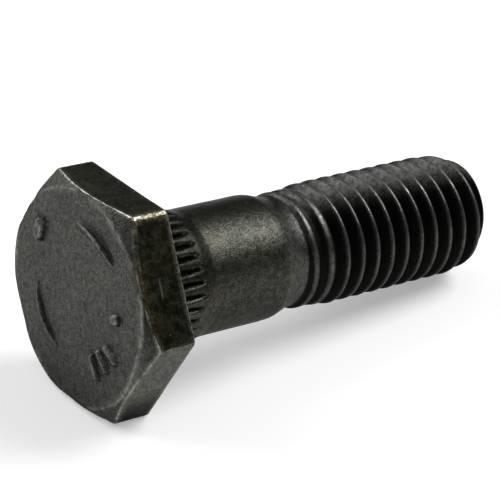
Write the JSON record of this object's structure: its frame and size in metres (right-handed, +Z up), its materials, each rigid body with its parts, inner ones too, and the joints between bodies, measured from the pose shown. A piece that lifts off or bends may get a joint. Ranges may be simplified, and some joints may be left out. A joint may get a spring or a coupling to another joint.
{
  "type": "hexagon head bolt with serrated collar",
  "caption": "Low hexagon head bolt with a serrated collar under the head, a plain shank, a tapered neck and a coarse right-hand rolled thread, in blackened steel.",
  "frame": {"origin": "middle of the footprint's bounding box, on the surface that the bolt lies on", "axes": "+X runs from the head towards the end of the thread, +Z is up, and the bolt's own axis dips a little towards the thread, because the bolt lies on one flat of its head and on its thread"},
  "size_m": [0.0374, 0.0192, 0.0172],
  "materials": {
    "blackened_steel": "black oxide over forged and rolled steel, satin, worn bright along the edges"
  },
  "bodies": {
    "root": {"bolt": "blackened_steel"}
  },
  "joints": []
}
